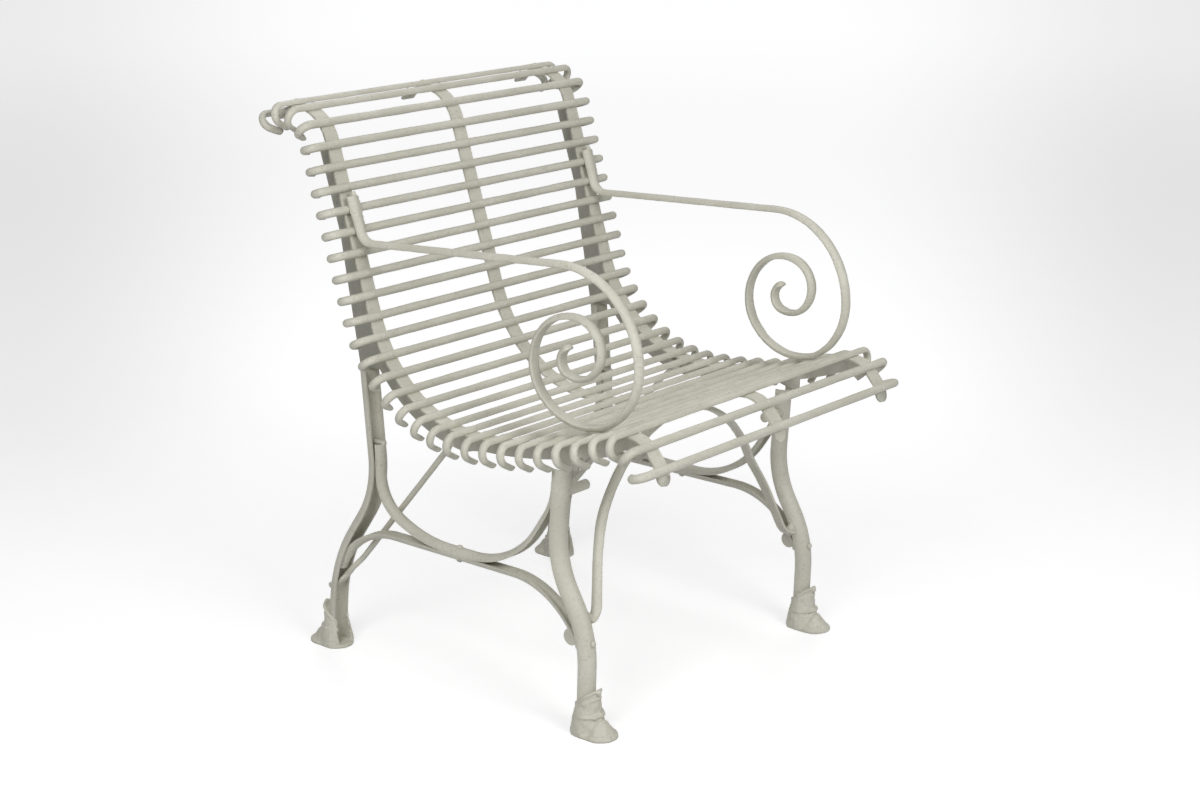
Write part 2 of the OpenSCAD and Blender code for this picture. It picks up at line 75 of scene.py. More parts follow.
def walk(pose, bends, distance):
    for piece in bends[:-1]:
        if distance <= length(piece):
            return step(pose, piece, distance)
        pose = step(pose, piece, length(piece))
        distance -= length(piece)
    return step(pose, bends[-1], distance)


def beside(pose, distance):
    """Point at a distance to the left of a pose's heading."""
    a = math.radians(pose[2])
    return pose[0] - distance * math.sin(a), pose[1] + distance * math.cos(a)


RIB_START = (-303, 408, 72)
RIB = [(9, 0), (30, -22), (18, 0), (45.5, -72), (733, 22), (203.5, 72.6), (264, 0), (64.5, -200)]


# From the front edge up: distance between slats, the slat it starts at and how often it comes.
FIRST_SLAT = 9
SLAT_GAPS = ((36.5, 32, 1), (36, 31, 1), (34.1, 30, 9), (30.8, 21, 8), (32.1, 13, 8), (34, 5, 4))


def slat_distance(n):
    return FIRST_SLAT + sum(gap * max(0, min(times, start - n)) for gap, start, times in SLAT_GAPS)


def slat_pose(n):
    return walk(RIB_START, RIB, slat_distance(n))


SLAT_ROUND = 6.25
MID_Y = sum(beside(slat_pose(n), CLEAR + SLAT_T - SLAT_ROUND)[0]
            for n in (1, SLATS)) / 2


def on_chair(pose, x=0):
    """Matrix that puts a piece on a pose: its X across the chair, its Y out of the rib's face."""
    return (Matrix.Translation((x * MM, (pose[0] - MID_Y) * MM, pose[1] * MM))
            @ Matrix.Rotation(math.radians(pose[2] + 90), 4, "X"))


BACK_LEG_START = (249.5, 462, -95)
BACK_LEG = [(133, 0), (159, 40), (42, 0), (238, -30), (400, 0)]
LEG_T = 18
ROD_RIVET_UP = 92


def leg_pose_at(height):
    """Pose where the back leg, followed downward, reaches a height."""
    distance = 0
    pose = walk(BACK_LEG_START, BACK_LEG, distance)
    while pose[1] > height:
        distance += 0.5
        pose = walk(BACK_LEG_START, BACK_LEG, distance)
    return pose


LEG_RIVET = leg_pose_at(ROD_RIVET_UP)


# Modelling helpers

def deselect():
    if bpy.context.object and bpy.context.object.mode != "OBJECT":
        bpy.ops.object.mode_set(mode="OBJECT")
    bpy.ops.object.select_all(action="DESELECT")


def take(piece):
    deselect()
    bpy.context.view_layer.objects.active = piece
    piece.select_set(True)
    return piece


def settle(piece, name=None):
    """Applies a piece's place to its mesh, so that its object sits at the origin."""
    take(piece)
    bpy.ops.object.transform_apply(location=True, rotation=True, scale=True)
    if name:
        piece.name = name
    return piece


def apply_modifier(piece, kind, **settings):
    take(piece)
    modifier = piece.modifiers.new(kind.lower(), kind)
    for key, value in settings.items():
        setattr(modifier, key, value)
    bpy.ops.object.modifier_apply(modifier=modifier.name)


def copy_of(piece, name, matrix=None):
    made = bpy.data.objects.new(name, piece.data.copy())
    bpy.context.scene.collection.objects.link(made)
    if matrix is not None:
        made.data.transform(matrix)
    return made


def join(pieces, name):
    deselect()
    for piece in pieces:
        piece.select_set(True)
    bpy.context.view_layer.objects.active = pieces[0]
    bpy.ops.object.join()
    pieces[0].name = name
    return pieces[0]


def tidy_normals(piece, merge=0.00001):
    take(piece)
    bpy.ops.object.mode_set(mode="EDIT")
    bpy.ops.mesh.select_all(action="SELECT")
    bpy.ops.mesh.remove_doubles(threshold=merge)
    bpy.ops.mesh.normals_make_consistent(inside=False)
    bpy.ops.object.mode_set(mode="OBJECT")
    return piece


def smooth(piece, angle=40):
    take(piece)
    bpy.ops.object.shade_smooth_by_angle(angle=math.radians(angle))
    return piece


def shade_round(piece):
    """Smooth shading all over, for a piece without sharp edges."""
    take(piece)
    bpy.ops.object.shade_smooth()
    return piece


def fuse(piece, voxel, passes):
    """Melts the lumps of a joined piece into one skin."""
    apply_modifier(piece, "REMESH", mode="VOXEL", voxel_size=voxel * MM)
    apply_modifier(piece, "SMOOTH", factor=0.5, iterations=passes)
    return piece


def unevenness(name, size):
    grain = bpy.data.textures.new(name, "CLOUDS")
    grain.noise_scale = size * MM
    grain.noise_depth = 2
    return grain


ROLLING = unevenness("rolling", 45)
SCALE_MARKS = unevenness("scale_marks", 6)
LUMPS = unevenness("lumps", 10)
SAND = unevenness("sand", 2.6)


def hammer(piece, grain, strength):
    apply_modifier(piece, "DISPLACE", texture=grain, texture_coords="GLOBAL",
                   strength=strength * MM, mid_level=0.5)
    return piece


def knob(name, size, at):
    deselect()
    bpy.ops.mesh.primitive_uv_sphere_add(segments=20, ring_count=12, radius=MM)
    made = bpy.context.object
    made.scale = size
    made.location = [c * MM for c in at]
    return settle(made, name)


def mount(piece, material, slot, *nodes):
    piece.data.materials.clear()
    piece.data.materials.append(material)
    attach(piece, "root")
    if nodes:
        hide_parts(*nodes)
    return piece


# Paint

class Wire:
    """A value in a finish. Arithmetic on it adds the Math nodes."""

    def __init__(self, finish, socket):
        self.finish, self.socket = finish, socket

    def math(self, operation, *others):
        return self.finish.node("ShaderNodeMath", {"operation": operation}, self, *others)

    def __add__(self, other):
        return self.math("ADD", other)

    def __radd__(self, other):
        return self.math("ADD", other)

    def __sub__(self, other):
        return self.math("SUBTRACT", other)

    def __rsub__(self, other):
        return self.finish.node("ShaderNodeMath", {"operation": "SUBTRACT"}, other, self)

    def __mul__(self, other):
        return self.math("MULTIPLY", other)

    def __rmul__(self, other):
        return self.math("MULTIPLY", other)

    def between(self, low, high, to_low=0.0, to_high=1.0):
        return self.finish.node("ShaderNodeMapRange", {"interpolation_type": "SMOOTHSTEP"},
                                self, low, high, to_low, to_high)


class Finish:
    """The nodes of a material, or of the world, under construction."""

    def __init__(self, owner):
        self.owner = owner
        owner.use_nodes = True
        self.tree = owner.node_tree
        self.tree.nodes.clear()

    def node(self, kind, settings=None, *inputs, output=0, **named):
        made = self.tree.nodes.new(kind)
        for key, value in (settings or {}).items():
            setattr(made, key, value)
        for key, value in [*enumerate(inputs), *named.items()]:
            if isinstance(key, str):
                key = key.replace("_", " ")
            socket = made.inputs[key]
            if isinstance(value, Wire):
                self.tree.links.new(value.socket, socket)
            elif value is not None:
                socket.default_value = value
        return Wire(self, made.outputs[output]) if made.outputs else None

    def noise(self, place, scale, detail=2.0, rough=0.5):
        return self.node("ShaderNodeTexNoise", None, Vector=place, Scale=scale, Detail=detail,
                         Roughness=rough)

    def mix(self, share, first, second):
        return self.node("ShaderNodeMix", {"data_type": "RGBA"}, share, None, None, None, None,
                         None, first, second, output=2)

    def bump(self, height, strength, distance, under=None):
        return self.node("ShaderNodeBump", None, Height=height, Strength=strength,
                         Distance=distance * MM, Normal=under)

    def light_path(self, output):
        return self.node("ShaderNodeLightPath", output=output)

    def finish(self, surface):
        self.node("ShaderNodeOutputMaterial", None, Surface=surface)
        return self.owner


def srgb(red, green, blue):
    def linear(value):
        value /= 255
        return value / 12.92 if value <= 0.04045 else ((value + 0.055) / 1.055) ** 2.4
    return linear(red), linear(green), linear(blue), 1.0


PEBBLE = srgb(203, 201, 187)
PEBBLE_LIGHT = srgb(212, 210, 197)
PEBBLE_DULL = srgb(188, 186, 171)
RUB = srgb(164, 162, 147)


def iron_paint(name, wave, grain, pitting, rub):
    """Satin pebble-grey paint on forged iron: hammer waves, mill grain, pits and rubbed spots."""
    paint = Finish(bpy.data.materials.new(name))
    place = paint.node("ShaderNodeTexCoord", output=3)
    cloud = paint.noise(place, 14.0, 3.0)
    speck = paint.noise(place, 420.0, 3.0, 0.6)
    streak_place = paint.node("ShaderNodeMapping", None, Vector=place, Scale=(30.0, 90.0, 90.0))
    streak = paint.noise(streak_place, 3.0, 4.0, 0.6)
    cell = paint.node("ShaderNodeTexVoronoi", None, Vector=place, Scale=150.0)
    pit_zone = paint.noise(place, 38.0, 2.0).between(0.52, 0.62)
    pit = cell.between(0.10, 0.30, 1.0, 0.0) * pit_zone
    worn = paint.noise(place, 75.0, 5.0, 0.65).between(0.60, 0.70)
    tone = paint.mix(cloud.between(0.38, 0.66), PEBBLE, PEBBLE_LIGHT)
    tone = paint.mix(streak.between(0.48, 0.72) * 0.55, tone, PEBBLE_DULL)
    tone = paint.mix(speck.between(0.52, 0.75) * 0.35, tone, PEBBLE_DULL)
    tone = paint.mix(pit * 0.5 + worn * rub, tone, RUB)
    forged = paint.noise(place, 55.0, 2.0)
    fine = paint.noise(place, 700.0, 2.0)
    height = forged * 0.7 + speck * 0.2 - pit * 0.6
    relief = paint.bump(height, wave, 0.6)
    relief = paint.bump(fine, grain, 0.12, relief)
    gloss = 0.46 + speck * 0.10 + pit * pitting - cloud * 0.06
    surface = paint.node("ShaderNodeBsdfPrincipled", None, Base_Color=tone, Roughness=gloss,
                         Normal=relief, Metallic=0.0, IOR=1.45)
    return paint.finish(surface)


SLAT_PAINT = iron_paint("slat_paint", 0.45, 0.35, 0.12, 0.20)
FRAME_PAINT = iron_paint("frame_paint", 0.60, 0.35, 0.15, 0.28)
HOOF_PAINT = iron_paint("hoof_paint", 0.80, 0.55, 0.20, 0.45)

for node_name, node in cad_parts.items():
    chosen = (HOOF_PAINT if "hoof" in node_name
              else SLAT_PAINT if node_name.startswith("slat") else FRAME_PAINT)
    node.data.materials.clear()
    node.data.materials.append(chosen)


# Slats

FLAT_HALF = 5.2
ROUND_FROM, ROUND_SWEEP = -9, 198
SECTION_MID = 3.5
BAR_STEPS, CURL_STEPS, TAIL_STEPS = 40, 16, 3
TIP_TURNS = (25, 45, 62, 76, 86)
PUNCH_MARKS = ((25, 0), (0, -2.5))
PUNCH_R = 2.0
LONG_TAIL, SHORT_TAIL = 14, 4
SHORT_FROM = 31


def section_ring(piece):
    """Shapes the selected round outline into the half-round section of a slat, flat side down."""
    ring = sorted(piece.data.vertices, key=lambda v: math.atan2(v.co.z, v.co.y))
    count = len(ring)
    low = CLEAR * MM
    outline = [(-FLAT_HALF, 0.0), (FLAT_HALF, 0.0)]
    for i in range(count - 2):
        a = math.radians(ROUND_FROM + ROUND_SWEEP * i / (count - 3))
        outline.append((SLAT_ROUND * math.cos(a), SLAT_T - SLAT_ROUND + SLAT_ROUND * math.sin(a)))
    outline = sorted(outline, key=lambda p: math.atan2(p[0], p[1] - SECTION_MID))
    for vertex, (across, up) in zip(ring, outline):
        vertex.co = (0, low + up * MM, across * MM)


def push_out(vector):
    bpy.ops.mesh.extrude_region_move(TRANSFORM_OT_translate={"value": vector})


def forge_slat(name, tail):
    """One slat: half a bar drawn out from the middle, curled under and rounded, then mirrored."""
    deselect()
    bpy.ops.mesh.primitive_circle_add(vertices=18, radius=0.005, fill_type="NGON",
                                      rotation=(0, math.radians(90), 0))
    bar = settle(bpy.context.object, name)
    section_ring(bar)
    bpy.ops.object.mode_set(mode="EDIT")
    bpy.ops.mesh.select_all(action="SELECT")
    for _ in range(BAR_STEPS):
        push_out((SLAT_HALF / BAR_STEPS * MM, 0, 0))
    curl = (SLAT_HALF * MM, (CLEAR - CURL_R) * MM, 0)
    bpy.ops.mesh.spin(steps=CURL_STEPS, angle=math.radians(CURL_A), center=curl,
                      axis=(0, 0, 1))
    a = math.radians(CURL_A)
    ahead = Vector((math.cos(a), -math.sin(a), 0))
    for _ in range(TAIL_STEPS):
        push_out(ahead * (tail / TAIL_STEPS * MM))
    inner = Vector(curl) + Vector((math.sin(a), math.cos(a), 0)) * CURL_R * MM
    inner += ahead * tail * MM
    reach = 0.0
    shrunk = 1.0
    for turn in TIP_TURNS:
        t = math.radians(turn)
        push_out(ahead * (SLAT_W / 2 * (math.sin(t) - reach) * MM))
        inner += ahead * (SLAT_W / 2 * (math.sin(t) - reach) * MM)
        reach = math.sin(t)
        share = math.cos(t) / shrunk
        shrunk = math.cos(t)
        bpy.ops.transform.resize(value=(share, share, share), center_override=inner)
    bpy.ops.object.mode_set(mode="OBJECT")
    # the cap in the middle of the slat goes, because the other half joins there
    take(bar)
    for face in bar.data.polygons:
        face.select = all(abs(bar.data.vertices[i].co.x) < 1e-7 for i in face.vertices)
    bpy.ops.object.mode_set(mode="EDIT")
    bpy.ops.mesh.select_mode(type="FACE")
    bpy.ops.mesh.delete(type="ONLY_FACE")
    bpy.ops.mesh.select_mode(type="VERT")
    bpy.ops.object.mode_set(mode="OBJECT")
    apply_modifier(bar, "MIRROR", use_axis=(True, False, False), merge_threshold=0.00002)
    tidy_normals(bar)
    # small punch marks on the curls
    marks = []
    for side in (1, -1):
        for angle, along in PUNCH_MARKS:
            t = math.radians(angle)
            reach = CURL_R + SLAT_T + 0.4
            at = (side * (SLAT_HALF + along + reach * math.sin(t)) * MM,
                  (CLEAR - CURL_R + reach * math.cos(t)) * MM, 0.0006 * side)
            deselect()
            bpy.ops.mesh.primitive_uv_sphere_add(segments=14, ring_count=9,
                                                 radius=PUNCH_R * MM, location=at)
            marks.append(settle(bpy.context.object))
    punch = join(marks, "punch")
    apply_modifier(bar, "BOOLEAN", operation="DIFFERENCE", solver="EXACT", object=punch)
    bpy.data.objects.remove(punch)
    return bar


slat_long = forge_slat("slat_long", LONG_TAIL)
slat_short = forge_slat("slat_short", SHORT_TAIL)
for n in range(1, SLATS + 1):
    master = slat_short if n >= SHORT_FROM else slat_long
    slat = copy_of(master, f"forged_slat_{n:02d}", on_chair(slat_pose(n)))
    hammer(slat, ROLLING, 1.0)
    smooth(slat, 42)
    mount(slat, SLAT_PAINT, "slat_paint", f"slat_{n:02d}")
bpy.data.objects.remove(slat_long)
bpy.data.objects.remove(slat_short)


# Rivets

# (radius, height) of the heads, and how deep they sit in the slats' crowns
CROWN_HEAD, BACK_HEAD, ROD_HEAD, LEG_HEAD = (3.4, 1.5), (4.2, 2.0), (5.6, 3.4), (5.4, 9.5)
ROLL_SINK, SLAT_SINK = 0.3, 0.75
BACK_HEADS_TO = 4
ROD_EYE_SLAT, ROD_EYE_IN = 20, 20
WEB_OUTSIDE, ROD_INSIDE = 1.7, 10.0


def rivet_head(name, radius, height):
    """Low hammered rivet head that stands on the plane y = 0, its crown toward +Y."""
    deselect()
    bpy.ops.mesh.primitive_uv_sphere_add(segments=14, ring_count=9, radius=radius * MM,
                                         rotation=(math.radians(-90), 0, 0))
    head = settle(bpy.context.object, name)
    head.scale = (1, height / radius, 1)
    return settle(head)


crown_head = rivet_head("crown_head", *CROWN_HEAD)
back_head = rivet_head("back_head", *BACK_HEAD)
for side_name, x in (("left", FRAME_X), ("center", 0), ("right", -FRAME_X)):
    heads = []
    for n in range(1, SLATS + 1):
        drift = 0.5 * math.sin(7.0 * n + x)
        place = on_chair(slat_pose(n), x + drift)
        sink = CLEAR + SLAT_T - (ROLL_SINK if n < BACK_HEADS_TO else SLAT_SINK)
        heads.append(copy_of(crown_head, "head",
                             place @ Matrix.Translation((0, sink * MM, 0))))
        if x == 0 or n <= BACK_HEADS_TO:
            heads.append(copy_of(back_head, "head",
                                 place @ Matrix.Translation((0, -RIB_T * MM, 0))))
    mount(smooth(join(heads, f"slat_rivets_{side_name}")), SLAT_PAINT, "slat_paint")
# the rods are riveted to the ribs' webs above and through the back legs below
rod_head = rivet_head("rod_head", *ROD_HEAD)
rod_eye = beside(slat_pose(ROD_EYE_SLAT), -ROD_EYE_IN)
across = Matrix.Rotation(math.radians(-90), 4, "Z")
leg_head = rivet_head("leg_head", *LEG_HEAD)
for side_name, side in SIDES:
    eye = Matrix.Translation((0, (rod_eye[0] - MID_Y) * MM, rod_eye[1] * MM))
    outward = Matrix.Translation((side * (FRAME_X + WEB_OUTSIDE) * MM, 0, 0)) @ eye
    inward = Matrix.Translation((side * (FRAME_X - ROD_INSIDE) * MM, 0, 0)) @ eye
    turn = across if side > 0 else across.inverted()
    back = (on_chair(LEG_RIVET, side * (FRAME_X + 1))
            @ Matrix.Translation((0, LEG_T * MM, 0)))
    heads = [copy_of(rod_head, "head", outward @ turn),
             copy_of(rod_head, "head", inward @ turn.inverted()),
             copy_of(leg_head, "head", back)]
    mount(smooth(join(heads, f"rod_rivets_{side_name}")), FRAME_PAINT, "frame_paint")
for used in (crown_head, back_head, rod_head, leg_head):
    bpy.data.objects.remove(used)


# Arms

BACK_LEAN = 17.4
UPRIGHT_CUT = 30
UPRIGHT_BROAD = 1.15
PEG_R, PEG_L = 3.6, 12
BEAD_FROM, BEAD_TO, BEAD_STEP = 33, 72, 3.2


def forged_arm(side_name, side):
    """The arm's bar with its upright end drawn out broader, a short peg and a weld bead."""
    arm = copy_of(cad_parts[f"arm_{side_name}"], f"forged_arm_{side_name}")
    tidy_normals(arm)
    top = max((v.co for v in arm.data.vertices), key=lambda co: co.z).copy()
    upright = Vector((0, math.sin(math.radians(BACK_LEAN)), math.cos(math.radians(BACK_LEAN))))
    front = Vector((0, -upright.z, upright.y))

    def spot(x, out, along):
        return Vector((side * FRAME_X * MM, top.y, top.z)) + (
            Vector((x, 0, 0)) + front * out + upright * along) * MM

    take(arm)
    bpy.ops.object.mode_set(mode="EDIT")
    bpy.ops.mesh.select_all(action="SELECT")
    bpy.ops.mesh.bisect(plane_co=spot(0, 0, -UPRIGHT_CUT), plane_no=upright, use_fill=True,
                        clear_outer=True)
    bpy.ops.mesh.select_all(action="SELECT")
    bpy.ops.object.mode_set(mode="OBJECT")
    for vertex in arm.data.vertices:
        if (vertex.co - spot(0, 0, -UPRIGHT_CUT)).dot(upright) > -0.0005:
            middle = side * FRAME_X * MM
            vertex.co.x = middle + (vertex.co.x - middle) * UPRIGHT_BROAD
    deselect()
    bpy.ops.mesh.primitive_cylinder_add(vertices=20, radius=PEG_R * MM, depth=PEG_L * MM,
                                        location=spot(2.2, -3.6, -UPRIGHT_CUT),
                                        rotation=(math.radians(-BACK_LEAN), 0, 0))
    lumps = [settle(bpy.context.object, "peg")]
    along = BEAD_FROM
    while along < BEAD_TO:
        wobble = math.sin(9.0 * along + side)
        drop = knob("bead", (3.0 + 0.5 * wobble, 3.2, 2.6), (0, 0, 0))
        drop.data.transform(Matrix.Translation(spot(8.2 + 0.5 * wobble, -4.6, -along)))
        lumps.append(drop)
        along += BEAD_STEP
    join([arm, *lumps], f"forged_arm_{side_name}")
    fuse(arm, 1.4, 2)
    hammer(arm, ROLLING, 1.0)
    hammer(arm, SCALE_MARKS, 0.45)
    return mount(shade_round(arm), FRAME_PAINT, "frame_paint", f"arm_{side_name}")


for side_name, side in SIDES:
    forged_arm(side_name, side)


# Side ribs

WEB_FROM, WEB_TO, WEB_FADE = 62, 392, 22
WEB_DEEP, WEB_SHALLOW = 31, 22


def forged_rib(side_name):
    """The side rib, whose web is a little shallower along the seat."""
    rib = tidy_normals(copy_of(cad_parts[f"rib_{side_name}"], f"forged_rib_{side_name}"))
    places = [(d, walk(RIB_START, RIB, d)) for d in range(WEB_FROM, WEB_TO + 1, 2)]
    for vertex in rib.data.vertices:
        y, z = vertex.co.y / MM + MID_Y, vertex.co.z / MM
        found = None
        for distance, pose in places:
            a = math.radians(pose[2])
            dy, dz = y - pose[0], z - pose[1]
            off = abs(dy * math.cos(a) + dz * math.sin(a))
            out = -dy * math.sin(a) + dz * math.cos(a)
            if -WEB_DEEP < out < -WEB_SHALLOW and off < 2 and (not found or off < found[0]):
                found = off, out, distance, a
        if found:
            off, out, distance, a = found
            share = min(1, (distance - WEB_FROM) / WEB_FADE, (WEB_TO - distance) / WEB_FADE)
            lift = (-WEB_SHALLOW - out) * share * MM
            vertex.co += Vector((0, -math.sin(a), math.cos(a))) * lift
    return mount(smooth(rib), FRAME_PAINT, "frame_paint", f"rib_{side_name}")


for side_name, side in SIDES:
    forged_rib(side_name)


# Rods

ROD_BAR_R = 4.2
SPADE = (11.2, 4.4, 19)
SPADE_BACK = 17
ROD_IN_LEG = 4
ROD_SWELL = 0.6


def middle_between(piece, low, high):
    """Middle of the part of a piece that lies between two heights."""
    inside = [v.co for v in piece.data.vertices if low * MM < v.co.z < high * MM]
    return sum(inside, Vector()) / len(inside)


def forged_rod(side_name, side):
    """The rod, whose lower end runs straight into the leg's hollow and is beaten out flat."""
    rod = copy_of(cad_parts[f"rod_{side_name}"], f"forged_rod_{side_name}")
    tidy_normals(rod)
    apply_modifier(rod, "REMESH", mode="VOXEL", voxel_size=0.001)
    upper = middle_between(rod, 150, 160)
    lower = middle_between(rod, 122, 132)
    along = (lower - upper).normalized()
    end_y, end_z = beside(LEG_RIVET, LEG_T - ROD_IN_LEG)
    end = Vector((side * FRAME_X, end_y - MID_Y, end_z)) * MM
    take(rod)
    bpy.ops.object.mode_set(mode="EDIT")
    bpy.ops.mesh.select_all(action="SELECT")
    bpy.ops.mesh.bisect(plane_co=lower, plane_no=along, use_fill=True, clear_outer=True)
    bpy.ops.object.mode_set(mode="OBJECT")
    turn = (end - lower).to_track_quat("Z", "X").to_matrix().to_4x4()
    reach = (end - lower).length
    deselect()
    bpy.ops.mesh.primitive_cylinder_add(vertices=20, radius=ROD_BAR_R * MM,
                                        depth=reach + 4 * MM)
    stem = settle(bpy.context.object, "stem")
    stem.data.transform(Matrix.Translation((lower + end) / 2) @ turn)
    spade = knob("spade", SPADE, (0, 0, 0))
    roll = Matrix.Rotation(math.radians(90), 4, "Z")
    middle = end - (end - lower).normalized() * SPADE_BACK * MM
    spade.data.transform(Matrix.Translation(middle) @ turn @ roll)
    join([rod, stem, spade], f"forged_rod_{side_name}")
    fuse(rod, 1, 3)
    apply_modifier(rod, "DISPLACE", strength=ROD_SWELL * MM, mid_level=0)
    hammer(rod, ROLLING, 1.0)
    return mount(shade_round(rod), FRAME_PAINT, "frame_paint", f"rod_{side_name}")


for side_name, side in SIDES:
    forged_rod(side_name, side)


# Front brace

# (distance toward the leg, height over the brace's end, radius) of the weld's lumps
WELDS = ((5, -3, 6.5), (9, 1, 6.0), (13, 3, 5.0))
BRACE_FOOT = 16


def forged_brace():
    """The brace, whose lower ends are drawn out and welded to the front legs."""
    brace = copy_of(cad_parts["front_brace"], "forged_front_brace")
    tidy_normals(brace)
    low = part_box("front_brace")[0]
    welds = []
    for _, side in SIDES:
        foot = [v.co for v in brace.data.vertices
                if v.co.x * side > 0 and v.co.z < low.z + BRACE_FOOT * MM]
        foot = sum(foot, Vector()) / len(foot)
        leg = Vector((side * FRAME_X * MM, foot.y, foot.z))
        toward = (leg - foot).normalized()
        for ahead, up, size in WELDS:
            weld = knob("weld", (size, size, 1.3 * size), (0, 0, 0))
            weld.data.transform(Matrix.Translation(foot + toward * ahead * MM
                                                   + Vector((0, 0, up * MM))))
            welds.append(weld)
    join([brace, *welds], "forged_front_brace")
    fuse(brace, 1.4, 2)
    hammer(brace, ROLLING, 1.2)
    return mount(shade_round(brace), FRAME_PAINT, "frame_paint", "front_brace")


forged_brace()


# Cast hooves

COLLAR_TILT = 32
SHANK_R = 20
SHANK_TAPER = 0.12
HEEL = 27
LEG_GAP = 15.3
LEG_CROWN = 8.6
FRONT_COLLAR, BACK_COLLAR = 56.1, 54.0
CORONET_R, CORONET_T, CORONET_UP = 21.6, 2.1, 29.5
SKIRT_R, SKIRT_UP = 25.4, 5
TAPER_FROM, TAPER_OVER = 20, 32
SOLE = 1.1


def band(name, radius, thick, stretch=1.0):
    """A rolled band lying in the plane z = 0, drawn out by stretch along Y."""
    deselect()
    bpy.ops.mesh.primitive_torus_add(major_radius=radius * MM, minor_radius=thick * MM,
                                     major_segments=56, minor_segments=14)
    made = settle(bpy.context.object, name)
    made.scale = (1, stretch, 1)
    return settle(made)


def flare(name, low_r, high_r, low_z, high_z):
    """The shank's skirt, a cone that widens toward the sole."""
    deselect()
    bpy.ops.mesh.primitive_cone_add(vertices=48, radius1=low_r * MM, radius2=high_r * MM,
                                    depth=(high_z - low_z) * MM,
                                    location=(0, 0, (low_z + high_z) / 2 * MM))
    return settle(bpy.context.object, name)


def clear_of_leg(piece):
    """Cuts away what would stand in the leg's place or before its open side."""
    deselect()
    bpy.ops.mesh.primitive_cube_add(size=1)
    leg = bpy.context.object
    leg.scale = (2 * LEG_GAP * MM, 0.06, 0.2)
    leg.location = (0, LEG_CROWN * MM - 0.03, 0.05)
    settle(leg)
    apply_modifier(piece, "BOOLEAN", operation="DIFFERENCE", solver="EXACT", object=leg)
    bpy.data.objects.remove(leg)
    return piece


def tilted(piece, angle, y, z):
    piece.data.transform(Matrix.Translation((0, y * MM, z * MM))
                         @ Matrix.Rotation(math.radians(angle), 4, "X"))
    return piece


def cast_hoof(node_name, side, toe, collar_z):
    """A hoof with its rolled collar, coronet and knobs, lumpy as cast iron.
    It is made around its own axis with the toe toward +Y, and placed at the end."""
    low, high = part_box(node_name)
    axis_y = low.y + HEEL * MM if toe > 0 else high.y - HEEL * MM
    place = (Matrix.Translation((side * FRAME_X * MM, axis_y, 0))
             @ Matrix.Rotation(math.radians(0 if toe > 0 else 180), 4, "Z"))
    body = copy_of(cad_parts[node_name], f"cast_{node_name}", place.inverted())
    tidy_normals(body, 0.00002)
    rise = math.tan(math.radians(COLLAR_TILT))
    lip = tilted(band("lip", SHANK_R - 0.4, 2.3, 1 / math.cos(math.radians(COLLAR_TILT))),
                 COLLAR_TILT, 0, collar_z - 0.8)
    fold = tilted(band("fold", SHANK_R - 0.4, 1.4, 1.08), 22, 0, collar_z - 9)
    coronet = tilted(band("coronet", CORONET_R, CORONET_T), 3, 0.8, CORONET_UP)
    skirt = tilted(flare("skirt", SKIRT_R, SHANK_R, SKIRT_UP, collar_z - 8), 0, -1.6, 0)
    rings = [clear_of_leg(tidy_normals(ring)) for ring in (lip, fold, coronet, skirt)]
    knobs = [knob("tuft", (5.0, 3.6, 4.6), (1.0, 22.6, collar_z + 22 * rise - 4.5)),
             knob("spur", (4.6, 3.8, 4.4), (0, 23.0, 32)),
             knob("spur", (3.2, 2.6, 2.6), (9.5, 20.6, 30)),
             knob("spur", (3.2, 2.6, 2.6), (-9.5, 20.6, 30))]
    hoof = join([body, *rings, *knobs], f"cast_{node_name}")
    fuse(hoof, 1.1, 3)
    # the shank narrows upward, until it lies close around the leg
    for vertex in hoof.data.vertices:
        up = min(1, max(0, (vertex.co.z / MM - TAPER_FROM) / TAPER_OVER))
        vertex.co.x *= 1 - SHANK_TAPER * up
        vertex.co.y *= 1 - SHANK_TAPER * up
    hoof.data.transform(place)
    hammer(hoof, LUMPS, 2.2)
    hammer(hoof, SAND, 0.7)
    for vertex in hoof.data.vertices:
        if vertex.co.z < SOLE * MM:
            vertex.co.z = 0.0
    return mount(shade_round(hoof), HOOF_PAINT, "hoof_paint", node_name)


for side_name, side in SIDES:
    cast_hoof(f"front_hoof_{side_name}", side, -1, FRONT_COLLAR)
    cast_hoof(f"back_hoof_{side_name}", side, 1, BACK_COLLAR)


# Floor, light and camera

CAMERA_AT = (-2.452, -2.0871, 1.318)
CAMERA_AIM = (0.7360, 0.6175, -0.2771)
LENS, SENSOR = 66.0, 36.0
LAMPS_AIM = (0, 0, 0.40)
FLOOR_SIZE = 40
ROOM_LIGHT, ROOM_WHITE = 0.24, 0.94


def level(value):
    return value, value, value * 1.005, 1.0


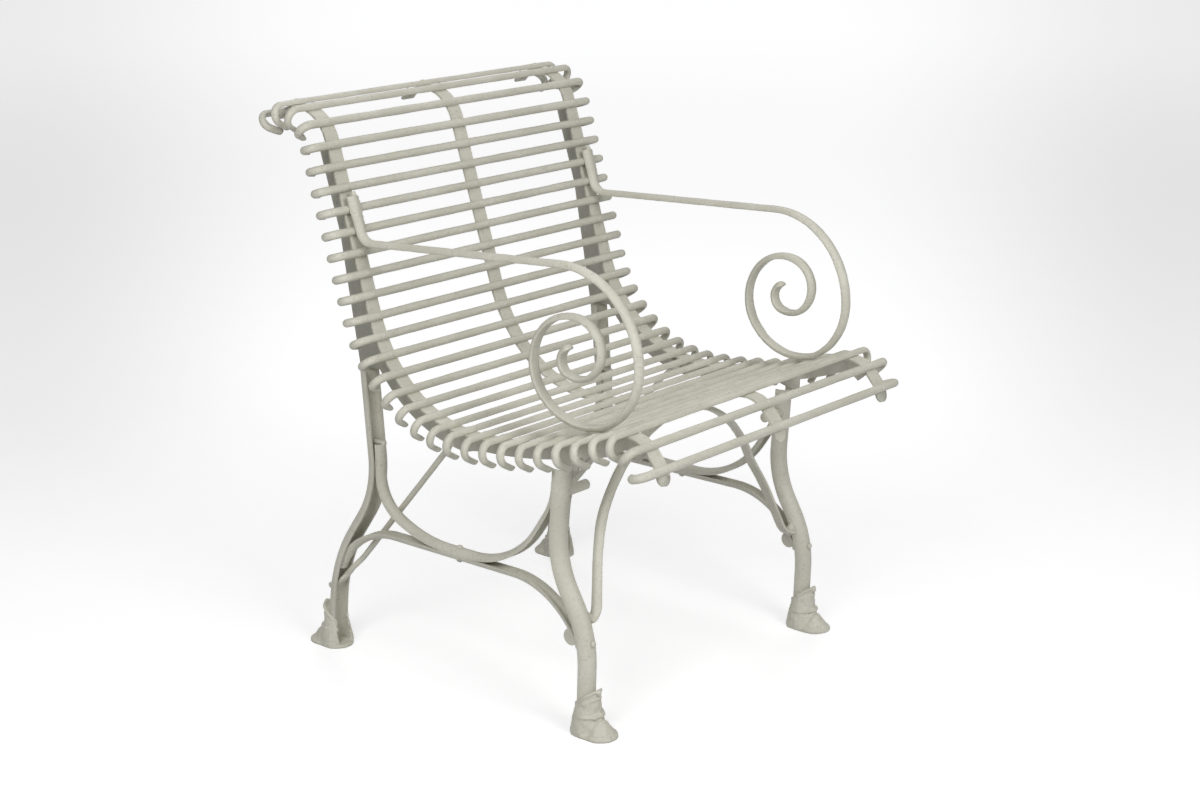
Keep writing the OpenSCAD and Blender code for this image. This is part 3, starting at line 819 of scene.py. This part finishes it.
def studio_paper():
    """White paper. The camera sees it glow, with the chair's shadow on top; the glow is painted
    a little greyer behind the chair toward both sides, a painted shade of the light falling off."""
    paper = Finish(bpy.data.materials.new("floor_paper"))
    place = paper.node("ShaderNodeTexCoord", output=3)

    def vector(operation, first, second, output=0):
        return paper.node("ShaderNodeVectorMath", {"operation": operation}, first, second,
                          output=output)

    away = vector("SUBTRACT", place, (-0.3, -0.3, 0))
    reach = paper.node("ShaderNodeVectorMath", {"operation": "LENGTH"}, away, output=1)
    seen_from = vector("SUBTRACT", place, CAMERA_AT)
    ahead = vector("DOT_PRODUCT", seen_from, (0.766, 0.643, 0), 1).math("MAXIMUM", 2.0)
    aside = vector("DOT_PRODUCT", seen_from, (0.643, -0.766, 0), 1)
    # painted shade: the glow greys far behind the chair and toward both sides, where the studio
    # light falls off
    side = aside.math("DIVIDE", ahead).math("ABSOLUTE").between(0.10, 0.27)
    deep = reach.between(2.5, 9.0)
    middle = paper.mix(deep, level(0.74), level(0.86))
    painted_side_shade = paper.mix(deep, level(0.55), level(0.70))
    tone = paper.mix(reach.between(0.9, 2.2), level(0.61), paper.mix(side, middle, painted_side_shade))
    glow = paper.node("ShaderNodeEmission", None, Color=tone, Strength=1.0)
    shade = paper.node("ShaderNodeBsdfDiffuse", None, Color=(0.54, 0.54, 0.54, 1))
    bright = paper.node("ShaderNodeAddShader", None, glow, shade)
    plain = paper.node("ShaderNodeBsdfDiffuse", None, Color=(0.60, 0.60, 0.60, 1))
    seen = paper.light_path("Is Camera Ray").math("MAXIMUM", paper.light_path("Is Glossy Ray"))
    return paper.finish(paper.node("ShaderNodeMixShader", None, seen, plain, bright))


deselect()
bpy.ops.mesh.primitive_plane_add(size=FLOOR_SIZE, location=(0, 0, 0))
floor = settle(bpy.context.object, "floor")
floor.data.materials.append(studio_paper())

world = bpy.data.worlds.new("studio")
bpy.context.scene.world = world
# even light from all around, which the camera sees as a white room
room = Finish(world)
even = room.node("ShaderNodeBackground", None, Color=(1, 1, 1, 1), Strength=ROOM_LIGHT)
walls = room.node("ShaderNodeBackground", None, Color=level(ROOM_WHITE), Strength=1.0)
room.node("ShaderNodeOutputWorld", None, Surface=room.node(
    "ShaderNodeMixShader", None, room.light_path("Is Camera Ray"), even, walls))


def softbox(name, place, aim, size, power):
    lamp = bpy.data.lights.new(name, "AREA")
    lamp.shape = "RECTANGLE"
    lamp.size, lamp.size_y = size
    lamp.energy = power
    holder = bpy.data.objects.new(name, lamp)
    bpy.context.scene.collection.objects.link(holder)
    holder.location = place
    holder.rotation_euler = (Vector(aim) - Vector(place)).to_track_quat("-Z", "Y").to_euler()
    return holder


softbox("left_softbox", (-2.7, -0.9, 2.3), LAMPS_AIM, (1.3, 1.3), 45)
softbox("right_softbox", (-0.7, -2.8, 2.3), LAMPS_AIM, (1.3, 1.3), 45)
softbox("rim_softbox", (1.6, 1.2, 3.2), LAMPS_AIM, (1.2, 1.2), 22)

camera = bpy.data.objects.new("camera", bpy.data.cameras.new("camera"))
bpy.context.scene.collection.objects.link(camera)
bpy.context.scene.camera = camera
camera.location = CAMERA_AT
camera.rotation_euler = Vector(CAMERA_AIM).to_track_quat("-Z", "Y").to_euler()
camera.data.lens = LENS
camera.data.sensor_width = SENSOR
camera.data.clip_end = 60
bpy.context.scene.view_settings.view_transform = "Standard"
